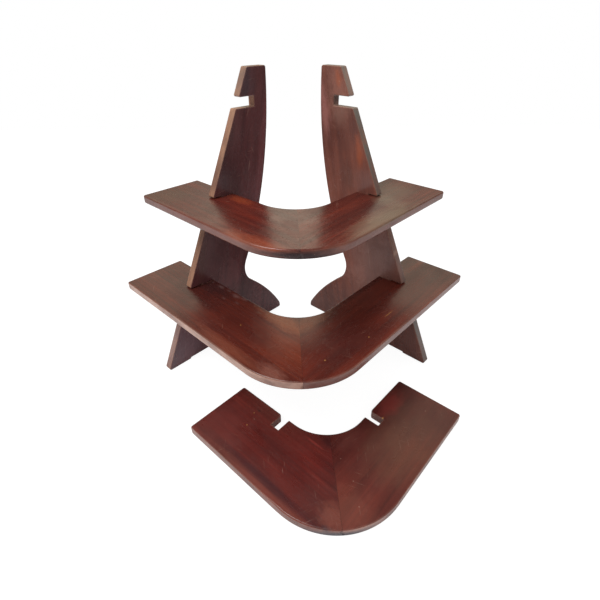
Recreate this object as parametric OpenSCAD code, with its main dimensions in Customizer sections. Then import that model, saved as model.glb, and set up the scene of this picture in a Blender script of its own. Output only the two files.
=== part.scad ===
// Knock-down display riser for a corner: two uprights and three L-shaped shelves, slotted together.
// The uprights stand square to the shelves' arms. Two shelves are fitted, the third lies in front.
// X runs to the right, Y to the back and Z up. The rounded corner of every shelf faces the front.

/* [Boards] */
// Thickness of every board
board_t = 12; // [9:0.5:15]
// Width of a shelf's arms
arm_w = 93; // [84:1:100]
// Radius of a shelf's rounded front corner
front_r = 94; // [70:1:110]
// Radius of the hollow inside a shelf's corner
hollow_r = 61; // [40:1:64]
// Rounding of the corners at the arms' ends
end_r = 3; // [1:0.5:8]

/* [Tiers] */
// Arm length of the lowest shelf, from where its outer edges would meet
long_arm = 360; // [340:1:400]
// How far each tier stands back from the one below
tier_step = 54; // [46:1:56]
// Height of the lowest shelf's top
first_top = 121; // [112:1:130]
// Rise from one tier to the next
tier_rise = 120; // [110:1:124]

/* [Uprights] */
// Distance of an upright's middle along the lowest shelf's arm
upright_along = 278; // [272:1:290]
// Height of an upright
upright_h = 396; // [386:1:420]
// Place of the toe along the floor, measured back from the lowest shelf's outer edge
toe_at = -8; // [-14:1:0]
// Lean of the front edge from upright, in degrees
front_lean = 26.2; // [25:0.1:27]
// Farthest reach of the back edge, measured as the toe is
back_reach = 220; // [214:1:228]
// Radius of the back edge
back_r = 560; // [500:5:640]
// Height at which the back edge reaches farthest
back_high = 379; // [360:1:400]
// Reach of the heel along the floor, measured as the toe is
heel_reach = 231.6; // [228:0.2:233]
// Radius of the heel's upper edge
heel_r = 272; // [262:1:282]
// Depth of that radius's centre below the floor
heel_drop = 120.5; // [114:0.5:126]
// Radius of the heel's nose
nose_r = 19; // [12:1:24]
// Radius of the waist between the back edge and the heel
waist_r = 32; // [20:1:40]
// Rounding of the outline's corners
corner_r = 3; // [1:0.5:5]
// Rounding of the notches' lips
lip_r = 2; // [0.5:0.5:3]

/* [Feet] */
// Height of the relief between an upright's toe pad and heel pad
relief_h = 2; // [1:0.5:4]
// Length of the toe pad
toe_pad = 40; // [30:1:60]
// Length of the heel pad
heel_pad = 52; // [40:1:70]

/* [Slots] */
// Depth of the slots cut into a shelf from its inner edge
slot_depth = 21; // [16:1:26]
// Clearance beside an upright in its slot, each side
side_gap = 0.6; // [0.3:0.1:1]
// Clearance above a shelf in its notch
notch_gap = 0.8; // [0.2:0.1:1.5]
// Clearance under a shelf, over its notch's floor
seat_gap = 0.05; // [0.02:0.01:0.2]
// Clearance between the floors of a slot and its notch
home_gap = 0.2; // [0.1:0.1:0.5]
// How much deeper the top notches run than the ones below
top_notch_extra = 16; // [4:1:18]
// Lead-in cut at the arm's end of each slot's mouth
lead_in = 2.5; // [2:0.5:6]

/* [Dowels] */
// Number of dowels across each mitre
dowel_count = 3; // [2:1:4]
// Diameter of a dowel
dowel_d = 6; // [4:0.5:7]
// Length of a dowel
dowel_l = 36; // [24:1:40]
// Chamfer at a dowel's ends
dowel_chamfer = 1; // [0.5:0.1:1.5]
// Clearance round a dowel
dowel_gap = 0.05; // [0.03:0.01:0.1]
// Clearance past a dowel's end
dowel_end_gap = 0.5; // [0.3:0.1:1]
// Distance of the end dowels from the mitre's ends
dowel_margin = 20; // [16:1:26]

/* [Loose shelf] */
// Place of the loose shelf's corner to the right of the stand's middle
loose_x = 37; // [0:1:45]
// Distance of the loose shelf's corner in front of the lowest shelf's
loose_ahead = 103; // [95:1:140]
// Turn of the loose shelf on the floor, in degrees
loose_turn = 0.9; // [-1:0.1:1]

/* [Hidden] */
$fn = 96;
over = 1;
// Curves cross the lines that they blend into by this much, so that every corner is a clean one
hair = 0.02;
arm_turn = 45;

// Tiers are counted from the floor up
lower = 0;
middle = 1;
top = 2;
function setback(k) = k * tier_step;
function arm_l(k) = long_arm - setback(k);
function shelf_base(k) = first_top - board_t + k * tier_rise;

// A slot takes the upright, and a notch takes the shelf
slot_w = board_t + 2 * side_gap;
slot_floor = arm_w - slot_depth;
notch_h = board_t + notch_gap + seat_gap;
function slot_along(k) = upright_along - setback(k);
function notch_end(k) = setback(k) + slot_floor + (k == top ? top_notch_extra : home_gap);

// The mitre runs from the rounded front to the hollow, at these distances from the shelf's corner
mitre_front = front_r * (sqrt(2) - 1);
mitre_back = (arm_w + hollow_r) * sqrt(2) - hollow_r;
dowel_pitch = (mitre_back - mitre_front - 2 * dowel_margin) / (dowel_count - 1);
function dowel_y(i) = mitre_front + dowel_margin + i * dowel_pitch;

// Small vector helpers for the outlines
function unit(v) = v / norm(v);
function half_angle(e1, e2) = acos(e1 * e2) / 2;
// Where circles round a and b with these radii cross, to the right of the way from a to b
function crossing(a, ra, b, rb) =
  let (
    way = unit(b - a),
    gap = norm(b - a),
    ahead = (gap * gap + ra * ra - rb * rb) / (2 * gap)
  )
  a + ahead * way + sqrt(ra * ra - ahead * ahead) * [way[1], -way[0]];

// An upright's outline: first number back from the lowest shelf's outer edge, second number up
front_up = [sin(front_lean), cos(front_lean)];
function front_at(z) = toe_at + z * tan(front_lean);
back_centre = [back_reach - back_r, back_high];
nose_centre = [heel_reach - nose_r, corner_r];
nose_rise = heel_drop + corner_r;
nose_ahead = sqrt((heel_r - nose_r) * (heel_r - nose_r) - nose_rise * nose_rise);
heel_centre = [nose_centre[0] - nose_ahead, -heel_drop];
waist_centre = crossing(heel_centre, heel_r + waist_r, back_centre, back_r + waist_r);
waist_corner = crossing(heel_centre, heel_r, back_centre, back_r);

// The whole is centred on the origin between its foremost and rearmost points
heel_back = (upright_along + board_t / 2 + heel_reach) * sin(arm_turn);
loose_front = front_r * (sqrt(2) * cos(loose_turn) - 1) - loose_ahead;
centre_y = (heel_back + loose_front) / 2;

// Sliver outside a rounded corner: a and b point from the centre c to the ends of the arc
module round_off(c, a, b, r) {
  m = unit(a + b);
  difference() {
    polygon([c, c + a * r, c + m * (r / (m * a) + over), c + b * r]);
    translate(c + m * hair / (m * a)) circle(r);
  }
}

// The same at a straight corner p, whose edges run off along e1 and e2
module ease(p, e1, e2, r) {
  half = half_angle(e1, e2);
  c = p + unit(e1 + e2) * r / sin(half);
  round_off(c, unit(p + e1 * r / tan(half) - c), unit(p + e2 * r / tan(half) - c), r);
}

// The same under a level line at height z, where it meets a circle
module ease_to_arc(centre, arc_r, z, r) {
  rise = z - r - centre[1];
  c = centre + [sqrt((arc_r - r) * (arc_r - r) - rise * rise), rise];
  round_off(c, [0, 1], unit(c - centre), r);
}

module waist_fillet() {
  difference() {
    polygon([
      waist_centre,
      waist_centre + unit(back_centre - waist_centre) * waist_r,
      waist_corner + unit(waist_corner - waist_centre) * over,
      waist_centre + unit(heel_centre - waist_centre) * waist_r
    ]);
    translate(waist_centre) circle(waist_r + hair);
  }
}

module notch_outline(k) {
  z = shelf_base(k) - seat_gap;
  translate([0, z]) square([notch_end(k), notch_h]);
  ease([front_at(z), z], -front_up, [1, 0], lip_r);
  ease([front_at(z + notch_h), z + notch_h], front_up, [1, 0], lip_r);
}

module upright_outline() {
  difference() {
    intersection() {
      polygon([
        [toe_at, 0],
        [heel_reach, 0],
        [heel_reach, upright_h],
        [front_at(upright_h), upright_h]
      ]);
      union() {
        translate(back_centre) circle(back_r);
        translate(heel_centre) circle(heel_r);
        waist_fillet();
      }
    }
    for (k = [lower : top]) notch_outline(k);
    translate([toe_at + toe_pad, -over]) square([heel_reach - heel_pad - toe_at - toe_pad, relief_h + over]);
    ease([toe_at, 0], front_up, [1, 0], corner_r);
    ease([front_at(upright_h), upright_h], -front_up, [1, 0], corner_r);
    ease_to_arc(back_centre, back_r, upright_h, corner_r);
    ease([heel_reach, 0], [-1, 0], [0, 1], corner_r);
    round_off(nose_centre, unit(nose_centre - heel_centre), [1, 0], nose_r);
  }
}

// A right-hand board's outline, along the arm and across it from the outer edge
module board_outline(k) {
  slot_end = slot_along(k) + slot_w / 2;
  hollow_at = arm_w + hollow_r;
  difference() {
    polygon([[0, 0], [arm_l(k), 0], [arm_l(k), arm_w], [hollow_at, arm_w], [hollow_at, hollow_at]]);
    translate([hollow_at, hollow_at]) circle(hollow_r);
    round_off([front_r, front_r], [0, -1], [-1, 0], front_r);
    ease([arm_l(k), 0], [-1, 0], [0, 1], end_r);
    ease([arm_l(k), arm_w], [-1, 0], [0, -1], end_r);
    translate([slot_end - slot_w, slot_floor]) square([slot_w, slot_depth + over]);
    translate([slot_end, arm_w]) polygon([[-over, -lead_in - over], [lead_in + over, over], [-over, over]]);
  }
}

// Puts a right arm's piece, made along X with its outer edge on Y = 0, at the right or the left
module on_side(side) {
  mirror([side == "left" ? 1 : 0, 0, 0]) rotate(arm_turn) children();
}

// Puts a shelf's piece, made on the floor with its corner at the origin, in its place
module on_shelf(k) {
  if (k == top) {
    translate([loose_x, -loose_ahead - centre_y, 0]) rotate(loose_turn) children();
  } else {
    translate([0, setback(k) * sqrt(2) - centre_y, shelf_base(k)]) children();
  }
}

module at_dowels() {
  for (i = [0 : dowel_count - 1]) {
    translate([0, dowel_y(i), board_t / 2]) rotate([0, 90, 0]) children();
  }
}

module upright(side) {
  translate([0, -centre_y, 0]) on_side(side) translate([upright_along - board_t / 2, 0, 0])
    rotate([90, 0, 90]) linear_extrude(board_t) upright_outline();
}

module shelf_board(k, side) {
  on_shelf(k) difference() {
    on_side(side) linear_extrude(board_t) board_outline(k);
    at_dowels() cylinder(r = dowel_d / 2 + dowel_gap, h = dowel_l + 2 * dowel_end_gap, center = true);
  }
}

module shelf_dowels(k) {
  r = dowel_d / 2;
  half_l = dowel_l / 2;
  on_shelf(k) at_dowels() rotate_extrude() polygon([
    [0, -half_l],
    [r - dowel_chamfer, -half_l],
    [r, dowel_chamfer - half_l],
    [r, half_l - dowel_chamfer],
    [r - dowel_chamfer, half_l],
    [0, half_l]
  ]);
}

module left_upright() { color("#4a3234") upright("left"); }
module right_upright() { color("#55342c") upright("right"); }
module lower_shelf_left_board() { color("#5e2a22") shelf_board(lower, "left"); }
module lower_shelf_right_board() { color("#57251f") shelf_board(lower, "right"); }
module lower_shelf_dowels() { color("#c49a6c") shelf_dowels(lower); }
module middle_shelf_left_board() { color("#6b3a2e") shelf_board(middle, "left"); }
module middle_shelf_right_board() { color("#66372c") shelf_board(middle, "right"); }
module middle_shelf_dowels() { color("#c49a6c") shelf_dowels(middle); }
module top_shelf_left_board() { color("#5c2422") shelf_board(top, "left"); }
module top_shelf_right_board() { color("#582321") shelf_board(top, "right"); }
module top_shelf_dowels() { color("#c49a6c") shelf_dowels(top); }

left_upright();
right_upright();
lower_shelf_left_board();
lower_shelf_right_board();
lower_shelf_dowels();
middle_shelf_left_board();
middle_shelf_right_board();
middle_shelf_dowels();
top_shelf_left_board();
top_shelf_right_board();
top_shelf_dowels();
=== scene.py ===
# %% [markdown]
# # A knock-down corner riser in stained mahogany
# Two notched uprights carry L-shaped shelves, and the smallest shelf lies in front, taken off.
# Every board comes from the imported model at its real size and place. This lesson adds what a
# maker's hand and some years of use add: eased arrises, grain along each arm, stain and wear.
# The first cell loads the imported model. Its pieces stay where they are from here on.

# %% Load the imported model
import math
import bpy
from mathutils import Matrix, Vector


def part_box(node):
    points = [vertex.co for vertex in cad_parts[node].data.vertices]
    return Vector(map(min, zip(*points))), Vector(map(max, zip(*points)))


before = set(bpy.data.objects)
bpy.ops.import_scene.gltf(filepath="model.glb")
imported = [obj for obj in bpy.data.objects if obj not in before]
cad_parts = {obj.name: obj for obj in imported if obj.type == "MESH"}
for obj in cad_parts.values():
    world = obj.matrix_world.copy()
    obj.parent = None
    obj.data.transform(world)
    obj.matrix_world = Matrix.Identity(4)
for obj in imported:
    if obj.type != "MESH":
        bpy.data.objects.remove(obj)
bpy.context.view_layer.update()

print("boards and dowels:", sorted(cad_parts))

# %% [markdown]
# ## The camera
# The picture was taken from close by, just left of the middle and a little above the riser's
# top. The camera's place and aim come from fitting the shelves' corners and the uprights'
# edges to the picture. A camera at rest looks straight down, so it is tipped up by the angle
# that is left after the downward tilt, and then turned to the right.

# %% Place the camera
CAMERA_AT = Vector((-0.0152, -0.4186, 0.4390))
LOOK_DOWN = math.radians(34.36)
LOOK_RIGHT = math.radians(2.22)
LENS_MM = 24.09
SENSOR_MM = 36.0

camera_data = bpy.data.cameras.new("camera")
camera_data.lens = LENS_MM
camera_data.sensor_width = SENSOR_MM
camera = bpy.data.objects.new("camera", camera_data)
camera.location = CAMERA_AT
camera.rotation_euler = (math.pi / 2 - LOOK_DOWN, 0, -LOOK_RIGHT)
bpy.context.scene.collection.objects.link(camera)
bpy.context.scene.camera = camera
bpy.context.scene.view_settings.view_transform = "Standard"
print("camera at", tuple(round(v, 3) for v in camera.location))

# %% [markdown]
# ## Small helpers for node trees
# Materials here are made of nodes, and adding a node takes several lines each time. A helper
# that adds one node, sets its options and fills or links its inputs keeps each recipe short
# enough to read like a sentence. Inputs go by the names that the node editor shows, or by their
# numbers, most often where a node gives several of them the same name.

# %% Helpers that add one node
def put(tree, kind, inputs=None, **options):
    """Adds a node of this kind. Each input gets a plain value, or a link if it is given a socket."""
    node = tree.nodes.new(kind)
    for name, value in options.items():
        setattr(node, name, value)
    for key, value in (inputs or {}).items():
        if isinstance(value, bpy.types.NodeSocket):
            tree.links.new(value, node.inputs[key])
        else:
            node.inputs[key].default_value = value
    return node


def calc(tree, operation, *values):
    """One step of arithmetic on one, two or three numbers."""
    return put(tree, "ShaderNodeMath", dict(enumerate(values)), operation=operation).outputs[0]


def vector_calc(tree, operation, *values, number=False):
    """One step of arithmetic on vectors. Some steps, such as a length, give a plain number."""
    node = put(tree, "ShaderNodeVectorMath", dict(enumerate(values)), operation=operation)
    return node.outputs[1 if number else 0]


def spread(tree, value, low, high, to_low=0.0, to_high=1.0):
    """Stretches a value so that low and high become to_low and to_high, and clips what is beyond."""
    inputs = {0: value, 1: low, 2: high, 3: to_low, 4: to_high}
    return put(tree, "ShaderNodeMapRange", inputs).outputs[0]


def blend_colours(tree, share, first, second):
    """Mixes two colours. A share of 0 gives the first and 1 the second."""
    return put(tree, "ShaderNodeMix", {0: share, 6: first, 7: second}, data_type="RGBA").outputs[2]


def colour(red, green, blue):
    """A colour as a paint chart gives it, from 0 to 255, turned into the light values nodes use."""
    def light(v):
        v = v / 255
        return v / 12.92 if v <= 0.04045 else ((v + 0.055) / 1.055) ** 2.4
    return (light(red), light(green), light(blue), 1.0)


print("a middle grey on the chart is", round(colour(128, 128, 128)[0], 3), "as light")

# %% [markdown]
# ## Helpers for node groups
# A group is a recipe of its own, with named inputs and outputs, that many materials can hold.
# When the group changes, all of them follow. The first helper makes an empty group with its
# sockets, and the second links the results to the group's outputs once they are worked out.

# %% Helpers that make a group
SOCKET_KINDS = {"number": "NodeSocketFloat", "colour": "NodeSocketColor", "vector": "NodeSocketVector"}


def new_group(name, inputs, outputs):
    """An empty shader node group with named sockets. Returns it with its two end nodes."""
    group = bpy.data.node_groups.new(name, "ShaderNodeTree")
    for label, (kind, value) in inputs.items():
        socket = group.interface.new_socket(label, in_out="INPUT", socket_type=SOCKET_KINDS[kind])
        if value is not None:
            socket.default_value = value
    for label, kind in outputs.items():
        group.interface.new_socket(label, in_out="OUTPUT", socket_type=SOCKET_KINDS[kind])
    return group, group.nodes.new("NodeGroupInput"), group.nodes.new("NodeGroupOutput")


def finish_group(group, end, **values):
    """Links the results to the group's outputs. An underscore in a name stands for a space."""
    for label, socket in values.items():
        group.links.new(socket, end.inputs[label.replace("_", " ")])
    print("node group", group.name, "has", len(group.nodes), "nodes")


print("groups can have these sockets:", ", ".join(SOCKET_KINDS))

# %% [markdown]
# ## The light all round
# The riser stands on white in soft light, and a white world gives that light from all round.
# Satin varnish also mirrors what is round it. The middle shelf mirrors something bright and
# warm between the dark reflections of the two uprights, and its ends mirror something darker
# lower down. So the world that the varnish sees has a warm band from about a fifth of the way
# up, brightest straight behind the riser, darker below and overhead, and dim on the camera's
# side. What the camera sees directly is plain white. Light Path tells these rays apart.

# %% Make the world
WHITE = (1, 1, 1, 1)
WARM = (1.0, 0.95, 0.74, 1.0)
AMBIENT = 0.74
LOW_LIGHT, BAND_LIGHT = 0.20, 1.06
BAND_FROM, BAND_FULL = 0.30, 0.42
BAND_TOP, CEILING_FROM, CEILING_SHARE = 0.60, 0.85, 0.22
CAMERA_SIDE, FAR_SIDE, CAMERA_SIDE_SHARE = -0.6, 0.0, 0.4
PATCH_LIGHT = 0.75
PATCH_HIGH, PATCH_RIGHT = math.radians(26), math.radians(1)
PATCH_OUTER, PATCH_INNER = math.radians(15), math.radians(5)

world = bpy.data.worlds.new("pale_room")
world.use_nodes = True
bpy.context.scene.world = world
room = world.node_tree
room.nodes.clear()
rays = put(room, "ShaderNodeLightPath")
sight = put(room, "ShaderNodeTexCoord").outputs["Generated"]
compass = put(room, "ShaderNodeSeparateXYZ", {0: sight}).outputs
band = spread(room, compass["Z"], BAND_FROM, BAND_FULL, LOW_LIGHT, BAND_LIGHT)
ceiling = spread(room, compass["Z"], BAND_TOP, CEILING_FROM, 1.0, CEILING_SHARE)
side = spread(room, compass["Y"], CAMERA_SIDE, FAR_SIDE, CAMERA_SIDE_SHARE, 1.0)
band = calc(room, "MULTIPLY", calc(room, "MULTIPLY", band, ceiling), side)
to_patch = Vector((math.sin(PATCH_RIGHT), math.cos(PATCH_RIGHT), math.tan(PATCH_HIGH))).normalized()
toward = vector_calc(room, "DOT_PRODUCT", sight, to_patch, number=True)
patch = spread(room, toward, math.cos(PATCH_OUTER), math.cos(PATCH_INNER), 0.0, PATCH_LIGHT)
mirrored = calc(room, "ADD", band, patch)
brightness = put(room, "ShaderNodeMix", {
    0: rays.outputs["Is Glossy Ray"], 2: AMBIENT, 3: mirrored}, data_type="FLOAT").outputs[0]
brightness = calc(room, "MAXIMUM", brightness, rays.outputs["Is Camera Ray"])
tint = blend_colours(room, rays.outputs["Is Glossy Ray"], WHITE, WARM)
background = put(room, "ShaderNodeBackground", {"Color": tint, "Strength": brightness})
put(room, "ShaderNodeOutputWorld", {"Surface": background.outputs[0]})
print("world has", len(room.nodes), "nodes")

# %% [markdown]
# ## The lamp
# Light from all round alone looks flat. In the picture the edges that face left are brighter,
# so one large lamp hangs high at the left. A large lamp gives soft shadows, and an area lamp
# shines along its own downward axis, so it is turned until that axis points at the riser.

# %% Hang the lamp
LAMP_AT = Vector((-0.85, -0.25, 1.9))
LAMP_AIM = Vector((0, 0, 0.15))
LAMP_SIDE = 0.9
LAMP_WATTS = 22.0

lamp_data = bpy.data.lights.new("soft_lamp", "AREA")
lamp_data.size = LAMP_SIDE
lamp_data.energy = LAMP_WATTS
lamp = bpy.data.objects.new("soft_lamp", lamp_data)
lamp.location = LAMP_AT
lamp.rotation_euler = (LAMP_AIM - LAMP_AT).to_track_quat("-Z", "Y").to_euler()
bpy.context.scene.collection.objects.link(lamp)
print("lamp is", round((LAMP_AIM - LAMP_AT).length, 2), "m away")

# %% [markdown]
# ## The floor
# The floor is a white sheet that takes the riser's shadow. A white paint can't be as white as
# the background, so part of what the camera sees of it is its own light. That keeps the
# shadow as faint as in the picture, and the own light reaches the camera only, so it doesn't
# light the boards from below. It lies a hair under the feet, so that no faces share a plane.

# %% Lay the floor
FLOOR_SIDE, FLOOR_FRONT, FLOOR_BACK = 1.6, -0.5, 1.8
FLOOR_DROP = 0.0003
FLOOR_PAINT = (0.9, 0.9, 0.9, 1)
FLOOR_OWN_SHARE = 0.75
FLOOR_OWN_LIGHT = 1.22

floor_mesh = bpy.data.meshes.new("floor")
front = [(x * FLOOR_SIDE, FLOOR_FRONT, -FLOOR_DROP) for x in (-1, 1)]
back = [(x * FLOOR_SIDE, FLOOR_BACK, -FLOOR_DROP) for x in (1, -1)]
floor_mesh.from_pydata(front + back, [], [(0, 1, 2, 3)])
floor = bpy.data.objects.new("floor", floor_mesh)
bpy.context.scene.collection.objects.link(floor)

floor_paint = bpy.data.materials.new("white_floor")
floor_paint.use_nodes = True
tree = floor_paint.node_tree
tree.nodes.clear()
rays = put(tree, "ShaderNodeLightPath")
lit = put(tree, "ShaderNodeBsdfDiffuse", {"Color": FLOOR_PAINT})
own = put(tree, "ShaderNodeEmission", {"Color": WHITE, "Strength": FLOOR_OWN_LIGHT})
share = calc(tree, "MULTIPLY", rays.outputs["Is Camera Ray"], FLOOR_OWN_SHARE)
both = put(tree, "ShaderNodeMixShader", {0: share, 1: lit.outputs[0], 2: own.outputs[0]})
put(tree, "ShaderNodeOutputMaterial", {"Surface": both.outputs[0]})
floor_mesh.materials.append(floor_paint)
print("floor is", 2 * FLOOR_SIDE, "m across")

# %% [markdown]
# ## Noise drawn out along the board
# Streaks, pores, clouds in the stain and worn places are uneven in the same way: they change
# slowly along the board and quickly across it. Smooth noise does that once its coordinates are
# multiplied by less along the board than across it. How fine each noise is, is given per metre,
# along the board, across it and through it.

# %% Helpers for noise
EXAMPLE_FINENESS = 200


def noise(tree, vector, detail=2.0, roughness=0.5, scale=1.0):
    """Smooth random values from 0 to 1."""
    inputs = {"Vector": vector, "Scale": scale, "Detail": detail, "Roughness": roughness}
    return put(tree, "ShaderNodeTexNoise", inputs).outputs[0]


def stretched(tree, place, fineness, detail=2.0, roughness=0.5):
    """Noise as fine as this in each of the board's directions."""
    return noise(tree, vector_calc(tree, "MULTIPLY", place, fineness), detail, roughness)


print("a fineness of", EXAMPLE_FINENESS, "gives a patch about every", 1000 / EXAMPLE_FINENESS, "mm")

# %% [markdown]
# ## Grain
# A board is cut from a log, so its figure is the log's rings seen where the saw went through.
# The group works out each point's distance from the log's heart, which runs along the board,
# and turns it into rings. The heart lies off the board, so the rings show as long flames on
# the faces and as arcs on the end grain, with no extra work. Mahogany's rings are faint, and
# most of what shows is streaks along the grain and short dark pores, made of stretched noise.

# %% Group: mahogany grain
ALONG_SHARE = 0.06
RING_WANDER, RING_SHARPNESS, RING_SHARE = 0.020, 1.6, 0.75
WANDER_FINENESS, BAND_FINENESS, STREAK_FINENESS = (2.2, 9, 9), (1.6, 34, 34), (5, 190, 190)
FINE_FINENESS, PORE_FINENESS, GLOW_FINENESS = (18, 900, 900), (110, 2300, 2300), (3, 22, 22)
PORE_FROM, PORE_FULL, PORE_DARK = 0.60, 0.72, 0.22
# The noise's usual range, and how much light its low end takes away and its high end adds.
BAND_TONES = (0.30, 0.70, -0.25, 0.45)
STREAK_TONES = (0.30, 0.70, -0.22, 0.30)
FINE_TONES = (0.25, 0.75, -0.12, 0.12)
EVEN_LIGHT, BODY_LIGHT = 0.35, 0.45
GLOW_FROM, GLOW_FULL, GLOW_MOST = 0.38, 0.62, 0.55
FINE_RELIEF = 0.35


def make_grain_group():
    """Rings, bands, streaks and pores in a board's three tones."""
    group, start, end = new_group("Mahogany grain", {
        "Board space": ("vector", None),
        "Dark": ("colour", colour(60, 24, 21)),
        "Red": ("colour", colour(100, 40, 33)),
        "Orange": ("colour", colour(128, 60, 38)),
        "Ring gap": ("number", 0.006),
        "Contrast": ("number", 1.0),
    }, {"Color": "colour", "Pores": "number", "Relief": "number"})
    place = start.outputs["Board space"]

    def add(total, value):
        return calc(group, "ADD", total, value)

    wander = calc(group, "SUBTRACT", stretched(group, place, WANDER_FINENESS), 0.5)
    wander = calc(group, "MULTIPLY", wander, RING_WANDER)
    off_heart = vector_calc(group, "MULTIPLY", place, (ALONG_SHARE, 1, 1))
    from_heart = vector_calc(group, "LENGTH", off_heart, number=True)
    turns = calc(group, "DIVIDE", add(from_heart, wander), start.outputs["Ring gap"])
    rings = calc(group, "POWER", calc(group, "PINGPONG", turns, 0.5), RING_SHARPNESS)
    bands = stretched(group, place, BAND_FINENESS, detail=3.0)
    streaks = stretched(group, place, STREAK_FINENESS, detail=3.0, roughness=0.6)
    fine = stretched(group, place, FINE_FINENESS, roughness=0.6)
    pores = stretched(group, place, PORE_FINENESS, detail=1.0)
    pores = spread(group, pores, PORE_FROM, PORE_FULL)

    light = calc(group, "MULTIPLY", rings, RING_SHARE)
    light = add(light, spread(group, bands, *BAND_TONES))
    light = add(light, spread(group, streaks, *STREAK_TONES))
    light = add(light, spread(group, fine, *FINE_TONES))
    light = calc(group, "SUBTRACT", light, calc(group, "MULTIPLY", pores, PORE_DARK))
    light = calc(group, "SUBTRACT", light, EVEN_LIGHT)
    light = calc(group, "MULTIPLY_ADD", light, start.outputs["Contrast"], BODY_LIGHT)
    light = spread(group, light, 0.0, 1.0)
    body = blend_colours(group, light, start.outputs["Dark"], start.outputs["Red"])
    glow = calc(group, "MULTIPLY", stretched(group, place, GLOW_FINENESS), light)
    glow = spread(group, glow, GLOW_FROM, GLOW_FULL, 0.0, GLOW_MOST)
    body = blend_colours(group, glow, body, start.outputs["Orange"])
    relief = calc(group, "SUBTRACT", calc(group, "MULTIPLY", fine, FINE_RELIEF), pores)
    finish_group(group, end, Color=body, Pores=pores, Relief=relief)
    return group


grain_group = make_grain_group()

# %% [markdown]
# ## Stain, varnish and age
# Stain never takes evenly, so broad clouds make parts of a board darker or greyer. The varnish
# is satin, and handling dulls it in patches. This group gives both: the clouded colour, and a
# roughness that wanders between two values.

# %% Group: stain and varnish
CLOUD_FINENESS = (7, 16, 16)
CLOUD_FROM, CLOUD_FULL = 0.42, 0.68
RUB_FINENESS = (18, 26, 26)
RUB_FROM, RUB_FULL = 0.35, 0.65


def make_varnish_group():
    """The clouded colour, and the roughness that handling has changed in patches."""
    group, start, end = new_group("Stain and varnish", {
        "Board space": ("vector", None),
        "Color": ("colour", None),
        "Cloud": ("colour", colour(52, 26, 26)),
        "Clouding": ("number", 0.5),
        "Sheen from": ("number", 0.30),
        "Sheen to": ("number", 0.42),
    }, {"Color": "colour", "Roughness": "number"})
    place = start.outputs["Board space"]
    clouds = stretched(group, place, CLOUD_FINENESS, detail=3.0, roughness=0.55)
    clouds = spread(group, clouds, CLOUD_FROM, CLOUD_FULL)
    share = calc(group, "MULTIPLY", clouds, start.outputs["Clouding"])
    body = blend_colours(group, share, start.outputs["Color"], start.outputs["Cloud"])
    rubbed = stretched(group, place, RUB_FINENESS, detail=4.0, roughness=0.6)
    dull = spread(group, rubbed, RUB_FROM, RUB_FULL, start.outputs["Sheen from"], start.outputs["Sheen to"])
    finish_group(group, end, Color=body, Roughness=dull)
    return group


varnish_group = make_varnish_group()

# %% [markdown]
# ## Worn arrises and a painted highlight
# Arrises, the long edges between two faces, lose their stain first. They could be painted by
# hand, but then they would have to be painted again after every change. The Bevel node looks
# at the surface within a small radius and gives a softened direction. Where that direction
# differs from the true one, an arris is near. Noise breaks the line up, as real wear does.
# The pale tone put there is partly that wear and partly a painted highlight.

# %% Group: arris wear
ARRIS_FROM, ARRIS_FULL = 0.01, 0.14
ARRIS_SAMPLES = 6
WEAR_FINENESS = (60, 140, 140)
WEAR_FROM, WEAR_FULL, WEAR_LEAST = 0.30, 0.62, 0.25


def make_arris_group():
    """A mask of the arrises, broken up by noise."""
    group, start, end = new_group("Arris wear and highlight", {
        "Board space": ("vector", None),
        "Reach": ("number", 0.0024),
        "Amount": ("number", 0.7),
    }, {"Mask": "number"})
    soft = put(group, "ShaderNodeBevel", {"Radius": start.outputs["Reach"]}, samples=ARRIS_SAMPLES)
    true = put(group, "ShaderNodeNewGeometry").outputs["True Normal"]
    alike = vector_calc(group, "DOT_PRODUCT", soft.outputs[0], true, number=True)
    near = spread(group, calc(group, "SUBTRACT", 1.0, alike), ARRIS_FROM, ARRIS_FULL)
    broken = stretched(group, start.outputs["Board space"], WEAR_FINENESS, detail=3.0)
    broken = spread(group, broken, WEAR_FROM, WEAR_FULL, WEAR_LEAST, 1.0)
    mask = calc(group, "MULTIPLY", near, broken)
    finish_group(group, end, Mask=calc(group, "MULTIPLY", mask, start.outputs["Amount"]))
    return group


arris_group = make_arris_group()

# %% [markdown]
# ## Scratches and specks
# Years of pots and vases leave fine scratches, and dust leaves specks. A scratch is noise that
# is stretched so far that only thin lines are left, and a broader noise decides where any
# scratches lie at all. Three layers, each turned its own way, cross each other. A speck is the
# middle of a small random cell, and only a few of the cells have one.

# %% Group: scuffs
# Each layer of scratches: its turn in radians, and how fine it is across.
SCRATCH_LAYERS = ((0.25, 950), (1.2, 1150), (-0.7, 1300))
SCRATCH_ALONG, SCRATCH_PATCHES = 38, (26, 26, 26)
LINE_FROM, LINE_FULL = 0.71, 0.78
PATCHES_FROM, PATCHES_FULL = 0.56, 0.66
SPECK_CELLS = 150.0
SPECK_RIM, SPECK_CORE = 0.13, 0.06
FEW_FROM, FEW_FULL = 0.955, 0.985


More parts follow.
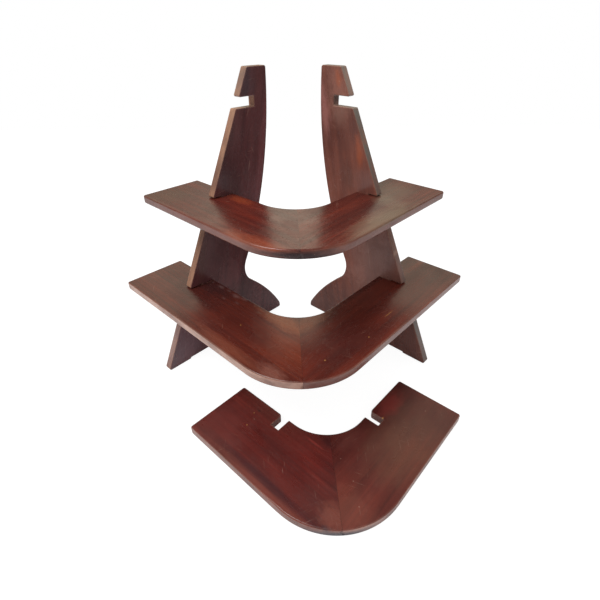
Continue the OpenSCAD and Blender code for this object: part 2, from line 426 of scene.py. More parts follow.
def make_scuff_group():
    """Two masks: fine scratches that cross each other, and a few specks."""
    group, start, end = new_group("Scuffs", {
        "Board space": ("vector", None),
        "Amount": ("number", 0.5),
    }, {"Scratches": "number", "Specks": "number"})
    place = start.outputs["Board space"]
    amount = start.outputs["Amount"]
    total = None
    for angle, across in SCRATCH_LAYERS:
        turned = put(group, "ShaderNodeVectorRotate", {"Vector": place, "Angle": angle}).outputs[0]
        line = stretched(group, turned, (SCRATCH_ALONG, across, across), detail=1.0)
        line = spread(group, line, LINE_FROM, LINE_FULL)
        where = stretched(group, turned, SCRATCH_PATCHES)
        line = calc(group, "MULTIPLY", line, spread(group, where, PATCHES_FROM, PATCHES_FULL))
        total = line if total is None else calc(group, "MAXIMUM", total, line)
    cells = put(group, "ShaderNodeTexVoronoi", {"Vector": place, "Scale": SPECK_CELLS, "Randomness": 1.0})
    chance = put(group, "ShaderNodeSeparateColor", {0: cells.outputs["Color"]}).outputs[0]
    speck = calc(group, "MULTIPLY", spread(group, cells.outputs["Distance"], SPECK_RIM, SPECK_CORE),
                 spread(group, chance, FEW_FROM, FEW_FULL))
    finish_group(group, end, Scratches=calc(group, "MULTIPLY", total, amount),
                 Specks=calc(group, "MULTIPLY", speck, amount))
    return group


scuff_group = make_scuff_group()

# %% [markdown]
# ## Narrow faces
# The narrow faces round a board are its sawn edges. They drink up more stain and lose more of
# it, so they have a tone of their own. On some boards that tone is also partly a painted sheen.
# The group finds them: there the surface's direction is square to the direction through the
# board. One material then serves the whole board.

# %% Group: edge tone
WIDE_FACE, NARROW_FACE = 0.8, 0.3
EDGE_FINENESS = (22, 60, 60)
EDGE_FROM, EDGE_FULL, EDGE_LEAST = 0.32, 0.62, 0.35


def make_edge_group():
    """A mask of the narrow faces, broken up by noise."""
    group, start, end = new_group("Edge tone", {
        "Board space": ("vector", None),
        "Through": ("vector", (0, 0, 1)),
        "Amount": ("number", 0.4),
    }, {"Mask": "number"})
    true = put(group, "ShaderNodeNewGeometry").outputs["True Normal"]
    facing = vector_calc(group, "DOT_PRODUCT", true, start.outputs["Through"], number=True)
    narrow = spread(group, calc(group, "ABSOLUTE", facing), WIDE_FACE, NARROW_FACE)
    broken = stretched(group, start.outputs["Board space"], EDGE_FINENESS, detail=4.0, roughness=0.6)
    broken = spread(group, broken, EDGE_FROM, EDGE_FULL, EDGE_LEAST, 1.0)
    mask = calc(group, "MULTIPLY", narrow, broken)
    finish_group(group, end, Mask=calc(group, "MULTIPLY", mask, start.outputs["Amount"]))
    return group


edge_group = make_edge_group()

# %% [markdown]
# ## Single marks
# Some marks can't be left to chance, such as the long dark streak on the loose shelf. The group
# makes one mark at a chosen place: the distance from the place, divided by the mark's half
# size in each direction, with some noise for a ragged rim. The mark is full in its middle
# third and fades from there.

# %% Group: spot
RIM_SCALE = 2.3
RIM_FROM, RIM_FULL = 1.0, 0.35


def make_spot_group():
    """A mask of one mark with a ragged rim."""
    group, start, end = new_group("Spot", {
        "Board space": ("vector", None),
        "Place": ("vector", (0, 0, 0)),
        "Size": ("vector", (0.01, 0.01, 0.01)),
        "Amount": ("number", 0.5),
        "Ragged": ("number", 1.1),
    }, {"Mask": "number"})
    offset = vector_calc(group, "SUBTRACT", start.outputs["Board space"], start.outputs["Place"])
    scaled = vector_calc(group, "DIVIDE", offset, start.outputs["Size"])
    away = vector_calc(group, "LENGTH", scaled, number=True)
    torn = noise(group, scaled, detail=4.0, roughness=0.6, scale=RIM_SCALE)
    torn = calc(group, "SUBTRACT", torn, 0.5)
    away = calc(group, "MULTIPLY_ADD", torn, start.outputs["Ragged"], away)
    mask = spread(group, away, RIM_FROM, RIM_FULL)
    finish_group(group, end, Mask=calc(group, "MULTIPLY", mask, start.outputs["Amount"]))
    return group


spot_group = make_spot_group()

# %% [markdown]
# ## Which board is where
# A piece's name says which side and which shelf it belongs to, and its box says where it is.
# The dowels cross each mitre at its middle, so the middle of their box gives a point that both
# boards of a shelf can be measured from.

# %% Helpers that find a board
SHELVES = ("lower", "middle", "top")


def side_of(name):
    """The side that a board belongs to, as its name says."""
    return "left" if "left" in name else "right"


def shelf_of(name):
    """The first word of a shelf board's name: lower, middle or top."""
    return name.split("_")[0]


def middle_of(node):
    """The middle of a piece's box."""
    low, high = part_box(node)
    return (low + high) / 2


for shelf in SHELVES:
    print(shelf, "mitre is at", tuple(round(v, 3) for v in middle_of(shelf + "_shelf_dowels")))

# %% [markdown]
# ## Each board's own space
# The grain follows the board, so every board needs its own axes: the first along the grain, the
# second across the board and the third through it. On a shelf the grain runs along the arm, and
# the two boards meet in a mitre at right angles, so the grain meets in a V. In an upright it
# runs up the board, leaning a little with the front edge.

# %% Axes of every board
LOOSE_TURN = math.radians(0.9)
TURN_OF = {"lower": 0.0, "middle": 0.0, "top": LOOSE_TURN}
UPRIGHT_GRAIN_LEAN = math.radians(13)
FAR_AWAY = Vector((9, 9, 9))


def shelf_turn(shelf):
    """The loose shelf lies a little turned, and this matrix turns with it."""
    return Matrix.Rotation(TURN_OF[shelf], 3, "Z")


def arm_directions(side, turn=Matrix.Identity(3)):
    """Unit vectors along an arm, away from the corner, and across it, towards the back."""
    out = -1 if side == "left" else 1
    return turn @ Vector((out, 1, 0)).normalized(), turn @ Vector((-out, 1, 0)).normalized()


def board_axes(name):
    """The board's three axes, as the rows of a matrix, and a point that they start from."""
    if name.endswith("upright"):
        along, across = arm_directions(side_of(name))
        up = Vector((0, 0, 1)) * math.cos(UPRIGHT_GRAIN_LEAN) + across * math.sin(UPRIGHT_GRAIN_LEAN)
        return Matrix((up, up.cross(along), along)), middle_of(name)
    shelf = shelf_of(name)
    along, across = arm_directions(side_of(name), shelf_turn(shelf))
    return Matrix((along, across, along.cross(across))), middle_of(shelf + "_shelf_dowels")


def mitre_of(name):
    """A point on a shelf's mitre and the direction square to it. Uprights get a far away plane."""
    if "shelf" not in name:
        return FAR_AWAY, Vector((1, 0, 0))
    shelf = shelf_of(name)
    return middle_of(shelf + "_shelf_dowels"), shelf_turn(shelf) @ Vector((1, 0, 0))


for name in sorted(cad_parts):
    if not name.endswith("dowels"):
        print(name, "grain runs along", tuple(round(v, 2) for v in board_axes(name)[0][0]))

# %% [markdown]
# ## The wood material
# Each board gets its own copy of one recipe, with its own axes, its own place in the log and
# its own colours: the boards of this riser don't quite match. A Mapping node turns the model's
# coordinates into board space. At the mitre the wear fades out, since there is no arris there,
# and a hair of dark glue shows instead. Two helpers prepare the board space and the masks
# for the mitre, and a third one places a group in the material, in that board space.

# %% Helpers for the wood
GLUE_LINE, GLUE_DARK = 0.00012, 0.6
MITRE_FADE = 0.004


def to_board_space(tree, name, heart):
    """Model coordinates, the same in board space, and the board's axes as a right-handed matrix."""
    rows, origin = board_axes(name)
    if rows.determinant() < 0:
        rows[2] = -rows[2]
    where = put(tree, "ShaderNodeTexCoord").outputs["Object"]
    shift = Vector(heart) - rows @ origin
    inputs = {"Vector": where, "Location": shift, "Rotation": rows.to_euler()}
    return where, put(tree, "ShaderNodeMapping", inputs).outputs[0], rows


def mitre_masks(tree, name, where):
    """Two masks: 1 where a board is clear of its mitre, and how dark the glue is on the mitre."""
    point, direction = mitre_of(name)
    offset = vector_calc(tree, "SUBTRACT", where, point)
    off_mitre = calc(tree, "ABSOLUTE", vector_calc(tree, "DOT_PRODUCT", offset, direction, number=True))
    clear = spread(tree, off_mitre, MITRE_FADE, MITRE_FADE * 2)
    return clear, spread(tree, off_mitre, GLUE_LINE, GLUE_LINE * 2, GLUE_DARK, 0.0)


def use(tree, space, group, **inputs):
    """Places a group and fills its inputs. An underscore in a name stands for a space."""
    named = {label.replace("_", " "): value for label, value in inputs.items()}
    return put(tree, "ShaderNodeGroup", {"Board space": space} | named, node_tree=group)


print("the glue line is", round(GLUE_LINE * 2 * 1000, 2), "mm wide on the surface")

# %% [markdown]
# ## One recipe for every board
# The groups feed one Principled shader. The colour is built up as on the real riser: bare wood,
# stain, the tone of the sawn edges, single marks, scratches, worn arrises and the glue line.
# Several marks are painted shade and sheen, and the tones of the sawn edges and the arrises are
# partly painted sheen and highlight.
# Pores and scratches also make the surface rougher, and the grain gives a very shallow bump.
# What is the same all over a board, such as its index of refraction, stays a plain value on
# the shader itself.

# %% Recipe: stained mahogany
# Pale arris tone: partly wear, partly a painted highlight.
WORN_AND_HIGHLIGHT = colour(168, 124, 104)
SCRATCH = colour(176, 140, 122)
GLUE = colour(38, 16, 12)
PALE_EDGE = colour(172, 128, 112)
PORES_ROUGHEN, SCRATCHES_ROUGHEN = 0.12, 0.25
BUMP_STRENGTH, BUMP_HEIGHT = 0.22, 0.00012
VARNISH_IOR = 1.5


def wood(name, heart, tones, marks, contrast, worn=0.6, scuffs=0.45,
         sheen=(0.20, 0.31), edge=(PALE_EDGE, 0.45)):
    """Stained mahogany for one board. The heart is the log's place, seen in the board's own axes."""
    material = bpy.data.materials.new("mahogany_" + name)
    material.use_nodes = True
    tree = material.node_tree
    tree.nodes.clear()
    where, space, rows = to_board_space(tree, name, heart)
    grain = use(tree, space, grain_group, Dark=tones[0], Red=tones[1], Orange=tones[2], Contrast=contrast)
    varnish = use(tree, space, varnish_group, Color=grain.outputs["Color"],
                  Sheen_from=sheen[0], Sheen_to=sheen[1])
    scuff = use(tree, space, scuff_group, Amount=scuffs)
    arris = use(tree, space, arris_group, Amount=worn)
    narrow = use(tree, space, edge_group, Through=rows[2], Amount=edge[1])
    clear, glue = mitre_masks(tree, name, where)
    layers = [(narrow.outputs["Mask"], edge[0])]
    upwards = 1 if rows[2].z > 0 else -1
    for (along, across, up), size, tone, amount in marks:
        place = Vector(heart) + Vector((along, across, up * upwards))
        spot = use(tree, space, spot_group, Place=place, Size=size, Amount=amount)
        layers.append((spot.outputs["Mask"], tone))
    layers.append((scuff.outputs["Scratches"], SCRATCH))
    layers.append((scuff.outputs["Specks"], SCRATCH))
    # the arris tone: partly wear, partly a painted highlight
    layers.append((calc(tree, "MULTIPLY", arris.outputs["Mask"], clear), WORN_AND_HIGHLIGHT))
    layers.append((glue, GLUE))
    body = varnish.outputs["Color"]
    for mask, tone in layers:
        body = blend_colours(tree, mask, body, tone)
    rough = calc(tree, "MULTIPLY_ADD", grain.outputs["Pores"], PORES_ROUGHEN, varnish.outputs["Roughness"])
    rough = calc(tree, "MULTIPLY_ADD", scuff.outputs["Scratches"], SCRATCHES_ROUGHEN, rough)
    bump = put(tree, "ShaderNodeBump", {
        "Height": grain.outputs["Relief"], "Strength": BUMP_STRENGTH, "Distance": BUMP_HEIGHT})
    shader = put(tree, "ShaderNodeBsdfPrincipled", {
        "Base Color": body, "Roughness": rough, "Normal": bump.outputs[0], "IOR": VARNISH_IOR})
    put(tree, "ShaderNodeOutputMaterial", {"Surface": shader.outputs[0]})
    return material


print("varnish has an index of refraction of", VARNISH_IOR)

# %% [markdown]
# ## Putting the wood on
# A board is one piece of wood, so its mesh gets one material and no more. The first helper puts
# a material on a piece, and the second makes a board's own wood and puts that on. It also keeps
# the board's name in a list, for the step that eases the arrises.

# %% Helpers that dress a piece
boards = []


def dress(name, material):
    """Gives a board or dowel this material all over."""
    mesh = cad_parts[name].data
    mesh.materials.clear()
    mesh.materials.append(material)


def dress_board(name, **recipe):
    """Makes the board's own wood and puts it on."""
    dress(name, wood(name, **recipe))
    boards.append(name)
    print("dressed", name, "with", len(recipe["marks"]), "marks")


print("pieces to dress:", len(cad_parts))

# %% [markdown]
# ## The lowest shelf
# Three tones make a board: the dark of its late rings, its red body and the orange that glows
# through where the stain is thin. Then come its single marks. Each gives a place along the
# grain, across it and up from the mitre's middle, half its size in the same directions, a tone
# and an amount, and each was placed from the picture. The lowest shelf is an orange red.
# It is darker on the front of its right arm. Painted shade darkens it before and beside the left
# upright, and painted sheen lies along the hollow and along the front of its left arm. Some dust
# lies beside the left upright.

# %% Dress the lowest shelf
CHIP = colour(206, 148, 84)
RUST = colour(168, 76, 40)
DUST = colour(150, 128, 124)
TOP = 0.006  # the top face, half a board above the mitre's middle
# Each speck of dust: its place along the grain and across it, half its length and its amount.
DUST_SPECKS = ((0.196, 0.018, 0.0050, 0.17), (0.176, 0.018, 0.0080, 0.21), (0.159, 0.019, 0.0060, 0.14),
               (0.141, 0.017, 0.0100, 0.21), (0.127, 0.020, 0.0090, 0.16), (0.150, 0.002, 0.0050, 0.12),
               (0.127, 0.007, 0.0060, 0.12))
SPECK_WIDTH, SPECK_DEPTH = 0.4, 0.002
dust = [((along, across, TOP), (size, size * SPECK_WIDTH, SPECK_DEPTH), DUST, amount)
        for along, across, size, amount in DUST_SPECKS]

dress_board(
    "lower_shelf_left_board", heart=(0.31, -0.065, 0.045), contrast=0.8,
    tones=(colour(74, 27, 20), colour(116, 46, 30), colour(152, 76, 44)),
    # its narrow faces: pale wood, and partly a painted sheen
    edge=(colour(208, 168, 150), 0.72), worn=0.9, marks=(
        ((0.005, -0.010, TOP), (0.060, 0.036, TOP), RUST, 0.14),  # warmer towards the nose
        ((0.195, -0.013, TOP), (0.075, 0.048, TOP), colour(56, 26, 24), 0.6),  # painted shade under the middle shelf, before the upright
        ((0.070, -0.061, TOP), (0.085, 0.010, 0.004), colour(156, 88, 66), 0.35),  # painted sheen along the front
        ((-0.007, -0.055, TOP), (0.026, 0.012, 0.004), colour(160, 104, 88), 0.35),  # rubbed nose
        ((0.184, 0.014, TOP), (0.050, 0.024, TOP), colour(48, 28, 30), 0.5),  # painted shade beside the upright
        *dust,
        ((0.050, 0.022, TOP), (0.056, 0.016, TOP), colour(186, 104, 62), 0.34),  # painted warm sheen along the hollow
        ((0.085, -0.022, TOP), (0.0012, 0.0008, 0.002), CHIP, 0.9)))
dress_board(
    "lower_shelf_right_board", heart=(0.87, 0.020, 0.060), contrast=0.8,
    tones=(colour(78, 30, 23), colour(120, 48, 33), colour(152, 72, 42)),
    edge=(colour(150, 122, 114), 0.5), worn=0.9, marks=(
        ((0.044, 0.026, TOP), (0.050, 0.016, TOP), colour(172, 100, 66), 0.3),  # painted warm sheen along the hollow
        ((0.050, -0.040, TOP), (0.070, 0.036, TOP), colour(66, 26, 22), 0.35),  # darker front half
        ((0.128, -0.0415, TOP), (0.012, 0.0005, 0.002), CHIP, 0.7),  # pale scratch
        ((0.070, -0.050, TOP), (0.0014, 0.0009, 0.002), CHIP, 0.8),
        ((0.001, -0.037, TOP), (0.0014, 0.0010, 0.002), CHIP, 0.8)))

# %% [markdown]
# ## The middle shelf
# The middle shelf has the same red, but most of its top shows what it mirrors. Its left end is
# browner, rust coloured patches show where the stain is rubbed, a painted shade and reflection of
# the left upright darkens it in front of that upright, and a painted sheen lies on its right arm.
# Round the nose the narrow face is painted nearly black as shade, with a small dark nick in the
# top edge.

# %% Dress the middle shelf
# Nearly black: nicks and dark ends, and the painted shade on the middle shelf's narrow nose faces.
DARK_NICK_AND_SHADE = colour(44, 16, 20)
NOSE = (-0.042, -0.042)  # the round front corner, along the grain and across it

dress_board(
    "middle_shelf_left_board", heart=(1.43, -0.030, -0.055), contrast=0.8,
    tones=(colour(74, 25, 20), colour(118, 44, 31), colour(156, 73, 42)),
    edge=(PALE_EDGE, 0.25), marks=(
        ((0.215, -0.045, TOP), (0.050, 0.040, TOP), colour(84, 58, 42), 0.42),  # browner end
        ((0.115, -0.033, TOP), (0.026, 0.020, TOP), colour(72, 38, 32), 0.45),  # painted reflection and shade of the left upright
        ((0.037, -0.067, TOP), (0.030, 0.016, TOP), colour(172, 88, 60), 0.3),  # rubbed front
        ((0.120, 0.012, TOP), (0.030, 0.010, TOP), RUST, 0.35),
        ((-0.003, -0.061, TOP), (0.045, 0.016, TOP), RUST, 0.35),
        ((*NOSE, -0.002), (0.055, 0.055, 0.0075), DARK_NICK_AND_SHADE, 1.0),  # painted shade on the narrow face round the nose
        ((*NOSE, 0.005), (0.0024, 0.0024, 0.0024), DARK_NICK_AND_SHADE, 0.9)))  # nick
dress_board(
    "middle_shelf_right_board", heart=(2.05, -0.075, 0.050), contrast=0.8,
    tones=(colour(72, 26, 21), colour(114, 45, 32), colour(146, 70, 42)),
    edge=(PALE_EDGE, 0.25), marks=(
        ((0.090, -0.062, TOP), (0.085, 0.024, TOP), colour(140, 122, 92), 0.28),  # painted sheen along the front
        ((0.185, -0.015, TOP), (0.050, 0.034, TOP), colour(140, 128, 104), 0.16),  # painted sheen at the end
        # painted sheen
        ((0.147, -0.032, TOP), (0.024, 0.028, TOP), colour(146, 134, 110), 0.18),
        ((*NOSE, -0.002), (0.055, 0.055, 0.0075), DARK_NICK_AND_SHADE, 1.0)))  # painted shade on the narrow face round the nose

# %% [markdown]
# ## The loose shelf
# The loose shelf is the reddest, and its varnish is duller, so its roughness wanders between
# two higher values. A long dark streak follows the front of its left board down to the nose,
# its right arm is browner, and a red patch and a chip sit by the right slot. A painted sheen
# lightens the top by the nose, and painted shade darkens the narrow face round the nose, most of
# all along its lower half.

# %% Dress the loose shelf
BROWN = colour(112, 74, 56)
# Painted shade on the narrow face round the nose, darkest along its lower half.
NOSE_PAINTED_SHADE = ((*NOSE, -0.0045), (0.056, 0.056, 0.0085), colour(46, 42, 54), 0.9)

dress_board(
    "top_shelf_left_board", heart=(2.71, 0.010, 0.058), contrast=0.7, sheen=(0.26, 0.36),
    tones=(colour(72, 23, 21), colour(116, 41, 34), colour(136, 58, 42)), marks=(
        ((0.040, -0.0665, TOP), (0.130, 0.0090, 0.003), colour(138, 72, 58), 0.4),  # rubbed front
        ((0.155, -0.040, TOP), (0.055, 0.040, TOP), colour(150, 74, 66), 0.18),  # paler end
        ((0.052, -0.0570, TOP), (0.100, 0.0065, 0.003), colour(60, 22, 28), 0.6),  # the long streak
        ((-0.030, -0.0526, TOP), (0.008, 0.005, 0.006), colour(48, 40, 50), 0.7),  # its dark end
        NOSE_PAINTED_SHADE,
        ((-0.026, -0.037, TOP), (0.022, 0.018, TOP), colour(158, 92, 74), 0.3),  # painted sheen by the nose
        ((0.035, 0.032, TOP), (0.014, 0.010, 0.004), DARK_NICK_AND_SHADE, 0.45),  # dark by the hollow
        ((0.047, 0.019, TOP), (0.018, 0.0020, 0.002), colour(150, 60, 52), 0.4),  # thin red line
        ((0.130, -0.0185, TOP), (0.0012, 0.0009, 0.002), CHIP, 0.6),
        ((0.1375, 0.001, TOP), (0.0010, 0.0010, 0.002), CHIP, 0.6),
        ((0.135, 0.008, TOP), (0.0028, 0.0016, 0.002), DARK_NICK_AND_SHADE, 0.8)))  # small dark nick
dress_board(
    "top_shelf_right_board", heart=(3.37, -0.050, -0.048), contrast=0.7, sheen=(0.26, 0.36),
    tones=(colour(80, 28, 23), colour(120, 47, 36), colour(146, 70, 46)),
    edge=(colour(186, 146, 134), 0.6), marks=(
        ((0.100, -0.038, TOP), (0.085, 0.052, TOP), BROWN, 0.42),  # browner arm
        ((0.150, -0.030, TOP), (0.060, 0.060, TOP), colour(74, 44, 38), 0.45),  # darker end
        ((-0.020, -0.034, TOP), (0.034, 0.034, TOP), colour(160, 96, 76), 0.16),  # painted sheen by the nose
        NOSE_PAINTED_SHADE,
        ((0.135, 0.012, TOP), (0.034, 0.018, TOP), colour(132, 48, 42), 0.6),  # red by the slot
        ((0.058, 0.022, TOP), (0.034, 0.018, 0.004), colour(124, 66, 58), 0.26),  # paler by the hollow
        ((0.1075, 0.005, TOP), (0.0030, 0.0016, 0.002), CHIP, 0.7)))

# %% [markdown]
# ## The uprights
# The left upright has a purple cast, and its narrow faces are pale, partly as bare wood and
# partly as a painted sheen. Painted shadow darkens its front edge under the middle shelf. The
# right one is paler and pinker, with grey narrow faces, two orange patches high up and more
# scuffs. Their marks are measured up the grain, across it and through the board, from the
# middle of the upright's box. Across counts towards the front on the left upright and towards
# the back on the right one. The marks go right through, so both faces show them.

# %% Dress the uprights
THROUGH = 0.02  # more than the board is thick
ORANGE_PATCH = colour(180, 92, 54)

dress_board(
    "left_upright", heart=(4.10, -0.020, 0.070), contrast=0.6, scuffs=0.6,
    tones=(colour(78, 45, 48), colour(122, 70, 70), colour(140, 82, 70)),
    # its narrow faces: pale wood, and partly a painted sheen
    edge=(colour(184, 138, 108), 0.7), marks=(
        ((0.185, 0.022, 0), (0.040, 0.014, THROUGH), colour(84, 62, 60), 0.4),  # dark top front
        ((0.100, -0.070, 0), (0.115, 0.014, THROUGH), colour(126, 70, 73), 0.45),  # redder back edge
        ((0.190, -0.030, 0), (0.032, 0.018, THROUGH), colour(64, 58, 66), 0.45),  # grey top
        ((0.078, -0.003, 0), (0.040, 0.022, THROUGH), colour(66, 46, 50), 0.4),  # dark above a shelf
        ((-0.042, 0.024, 0), (0.060, 0.014, THROUGH), colour(92, 62, 54), 0.4),  # painted shadow under the middle shelf
        ((-0.182, 0.046, 0), (0.060, 0.060, THROUGH), colour(104, 84, 94), 0.45),  # grey foot
        ((0.089, -0.048, 0), (0.009, 0.0006, THROUGH), SCRATCH, 0.6)))
dress_board(
    "right_upright", heart=(4.90, 0.035, -0.060), contrast=0.7, scuffs=0.8, worn=0.95,
    tones=(colour(102, 60, 52), colour(150, 90, 73), colour(174, 102, 72)),
    edge=(colour(98, 93, 88), 0.9), marks=(
        ((-0.150, 0.115, 0), (0.075, 0.060, THROUGH), colour(74, 48, 44), 0.3),  # dark heel
        ((-0.060, 0.010, 0), (0.075, 0.080, THROUGH), colour(164, 122, 112), 0.5),  # pale middle
        ((0.180, 0.038, 0), (0.050, 0.032, THROUGH), colour(176, 120, 104), 0.4),  # pale top
        ((-0.120, -0.040, 0), (0.075, 0.050, THROUGH), colour(94, 60, 56), 0.28),  # darker foot
        ((0.105, 0.012, 0), (0.030, 0.009, THROUGH), ORANGE_PATCH, 0.4),
        ((0.197, 0.034, 0), (0.015, 0.007, THROUGH), ORANGE_PATCH, 0.35),
        ((0.160, 0.038, 0), (0.027, 0.022, THROUGH), colour(118, 90, 80), 0.45),  # grey under the notch
        ((0.074, 0.035, 0), (0.030, 0.020, THROUGH), colour(84, 58, 52), 0.4),  # dark above a shelf
        ((0.165, 0.064, 0), (0.050, 0.012, THROUGH), colour(176, 116, 108), 0.5),  # paler back edge
        ((0.173, 0.044, 0), (0.008, 0.006, THROUGH), DARK_NICK_AND_SHADE, 0.6),  # dark notch end
        ((-0.048, 0.013, 0), (0.030, 0.0014, THROUGH), SCRATCH, 0.45),
        ((-0.039, -0.031, 0), (0.014, 0.0010, THROUGH), SCRATCH, 0.5)))

# %% [markdown]
# ## The dowels
# Three beech dowels cross each mitre. They are sealed inside and show only if a board is taken
# off, but they are still real pieces, so they get bare pale wood with its own fine grain.

# %% Dress the dowels
BEECH, PALE_BEECH, FLECK = colour(196, 156, 112), colour(222, 188, 146), colour(150, 108, 72)
BEECH_FINENESS, FLECK_FINENESS = (30, 700, 700), (260, 1500, 1500)
FLECK_FROM, FLECK_FULL, FLECK_MOST = 0.60, 0.75, 0.5
BARE_FROM, BARE_FULL, BARE_SMOOTH, BARE_ROUGH = 0.3, 0.7, 0.62, 0.74
BEECH_BUMP, BEECH_HEIGHT = 0.3, 0.0001


def beech():
    """Bare beech: two pale tones in streaks along the wood, with short dark flecks."""
    material = bpy.data.materials.new("bare_beech")
    material.use_nodes = True
    tree = material.node_tree
    tree.nodes.clear()
    where = put(tree, "ShaderNodeTexCoord").outputs["Object"]
    streaks = stretched(tree, where, BEECH_FINENESS, detail=3.0)
    flecks = stretched(tree, where, FLECK_FINENESS, detail=1.0)
    flecks = spread(tree, flecks, FLECK_FROM, FLECK_FULL, 0.0, FLECK_MOST)
    body = blend_colours(tree, flecks, blend_colours(tree, streaks, BEECH, PALE_BEECH), FLECK)
    bump = put(tree, "ShaderNodeBump", {
        "Height": streaks, "Strength": BEECH_BUMP, "Distance": BEECH_HEIGHT})
    rough = spread(tree, streaks, BARE_FROM, BARE_FULL, BARE_SMOOTH, BARE_ROUGH)
    shader = put(tree, "ShaderNodeBsdfPrincipled", {
        "Base Color": body, "Roughness": rough, "Normal": bump.outputs[0]})
    put(tree, "ShaderNodeOutputMaterial", {"Surface": shader.outputs[0]})
    return material


beech_wood = beech()
for shelf in SHELVES:
    dress(shelf + "_shelf_dowels", beech_wood)
print("dowel groups dressed:", len(SHELVES))

# %% [markdown]
# ## Which edges are eased
# A maker takes the sharpness off every arris with sandpaper, and that thin round is what
# catches the light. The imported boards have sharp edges, and a Bevel modifier can round them by
# as much as a mark on each edge says. A small geometry node tree makes the marks. It leaves
# the mitre sharp, since its two boards were sanded together after gluing, and eases the slots'
# edges only a little, since they must guide an upright. Edges that stay sharp are also kept
# out of smooth shading, so that they stay crisp.

# %% Mark the sharp edges
SHARP = math.radians(30)
BARELY = 0.01
PLACES = ("Mitre", "Slot")
PLACE_SOCKETS = {"point": "Vector", "direction": "Vector", "reach": "Float", "share": "Float"}


def make_edge_marker():
    """A geometry node tree that stores how much each edge is eased, from 0 to 1."""
    tree = bpy.data.node_groups.new("Mark arrises", "GeometryNodeTree")
    face = tree.interface
    face.new_socket("Geometry", in_out="INPUT", socket_type="NodeSocketGeometry")
    for part in PLACES:
        for label, kind in PLACE_SOCKETS.items():
            face.new_socket(part + " " + label, in_out="INPUT", socket_type="NodeSocket" + kind)
    face.new_socket("Geometry", in_out="OUTPUT", socket_type="NodeSocketGeometry")
    start, end = tree.nodes.new("NodeGroupInput"), tree.nodes.new("NodeGroupOutput")
    angle = put(tree, "GeometryNodeInputMeshEdgeAngle").outputs[0]
    is_sharp = calc(tree, "GREATER_THAN", angle, SHARP)
    place = put(tree, "GeometryNodeInputPosition").outputs[0]
    weight = is_sharp
    for part in PLACES:
        offset = vector_calc(tree, "SUBTRACT", place, start.outputs[part + " point"])
        off = vector_calc(tree, "DOT_PRODUCT", offset, start.outputs[part + " direction"], number=True)
        near = calc(tree, "LESS_THAN", calc(tree, "ABSOLUTE", off), start.outputs[part + " reach"])
        kept = spread(tree, near, 0.0, 1.0, 1.0, start.outputs[part + " share"])
        weight = calc(tree, "MULTIPLY", weight, kept)
    store = put(tree, "GeometryNodeStoreNamedAttribute", {
        "Geometry": start.outputs["Geometry"], "Name": "bevel_weight_edge", "Value": weight},
        data_type="FLOAT", domain="EDGE")
    smooth = put(tree, "GeometryNodeSetShadeSmooth", {0: store.outputs[0]})
    crisp = calc(tree, "MULTIPLY", is_sharp, calc(tree, "LESS_THAN", weight, BARELY))
    done = put(tree, "GeometryNodeSetShadeSmooth", {
        0: smooth.outputs[0], 1: crisp, 2: False}, domain="EDGE")
    tree.links.new(done.outputs[0], end.inputs[0])
    return tree


edge_marker = make_edge_marker()
print("edge marker has", len(edge_marker.nodes), "nodes")

# %% [markdown]
# ## Where the mitre and the slots are
# The marker must know where each board's mitre and slot lie. An upright stands in the slots of
# the two fitted shelves, so its box shows where they are. The loose shelf belongs one step
# above the middle shelf, and the step between the two fitted ones says where that is. Its slot
# is found there, and then moved and turned with the shelf to where the shelf lies.

# %% Find the mitre and the slot of a board
MITRE_REACH, MITRE_KEEPS = 0.0003, 0.0
SLOT_REACH, SLOT_KEEPS = 0.0075, 0.25
NOWHERE = dict(point=FAR_AWAY, direction=Vector((1, 0, 0)), reach=0.0, share=1.0)

fitted_middle = {shelf: middle_of(shelf + "_shelf_dowels") for shelf in ("lower", "middle")}
fitted_middle["top"] = fitted_middle["middle"] * 2 - fitted_middle["lower"]


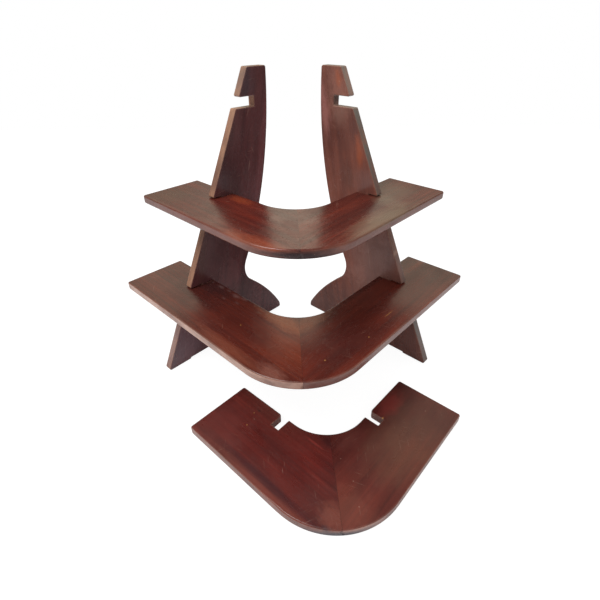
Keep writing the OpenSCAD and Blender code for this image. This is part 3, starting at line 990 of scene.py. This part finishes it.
def shelf_places(name):
    """Where a shelf board's mitre and slot lie, and how much of the easing their edges keep."""
    point, direction = mitre_of(name)
    mitre = dict(point=point, direction=direction, reach=MITRE_REACH, share=MITRE_KEEPS)
    shelf, side = shelf_of(name), side_of(name)
    from_middle = middle_of(side + "_upright") - fitted_middle[shelf]
    turn = shelf_turn(shelf)
    slot = dict(point=turn @ from_middle + point, direction=arm_directions(side, turn)[0],
                reach=SLOT_REACH, share=SLOT_KEEPS)
    return mitre, slot


for name in boards:
    if "shelf" in name:
        print(name, "has its slot at", tuple(round(v, 3) for v in shelf_places(name)[1]["point"].xy))

# %% [markdown]
# ## Easing the arrises
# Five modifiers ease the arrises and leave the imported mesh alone. Weld joins the loose corners,
# and Decimate joins the long triangles of each flat face into one. The edge marker marks each
# sharp edge, and Bevel rounds it. Weighted Normal keeps the wide faces looking flat beside the
# new narrow ones. The middle shelf has the roundest arrises, and the uprights the crispest.

# %% Ease the arrises
EASED_BY = {"lower": 0.0020, "middle": 0.0026, "top": 0.0020, "left": 0.0012, "right": 0.0012}
EASE_STEPS = 3
WELD = 0.000005
FLAT = math.radians(0.25)

marker_inputs = [item for item in edge_marker.interface.items_tree if item.in_out == "INPUT"]
socket_of = {item.name: item.identifier for item in marker_inputs}


def ease(name):
    """Gives a board the five modifiers."""
    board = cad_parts[name]
    board.modifiers.new("join corners", "WELD").merge_threshold = WELD
    flat = board.modifiers.new("whole faces", "DECIMATE")
    flat.decimate_type = "DISSOLVE"
    flat.angle_limit = FLAT
    marker = board.modifiers.new("mark arrises", "NODES")
    marker.node_group = edge_marker
    places = shelf_places(name) if "shelf" in name else (NOWHERE, NOWHERE)
    for part, place in zip(PLACES, places):
        for label, value in place.items():
            value = tuple(value) if isinstance(value, Vector) else value
            marker[socket_of[part + " " + label]] = value
    bevel = board.modifiers.new("ease arrises", "BEVEL")
    bevel.limit_method = "WEIGHT"
    bevel.width = EASED_BY[name.split("_")[0]]
    bevel.segments = EASE_STEPS
    bevel.use_clamp_overlap = False
    board.modifiers.new("flat faces stay flat", "WEIGHTED_NORMAL").keep_sharp = True


for name in boards:
    ease(name)
bpy.context.view_layer.update()
graph = bpy.context.evaluated_depsgraph_get()
for name in boards:
    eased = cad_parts[name].evaluated_get(graph).data
    print(name, "has", len(eased.polygons), "faces once eased")
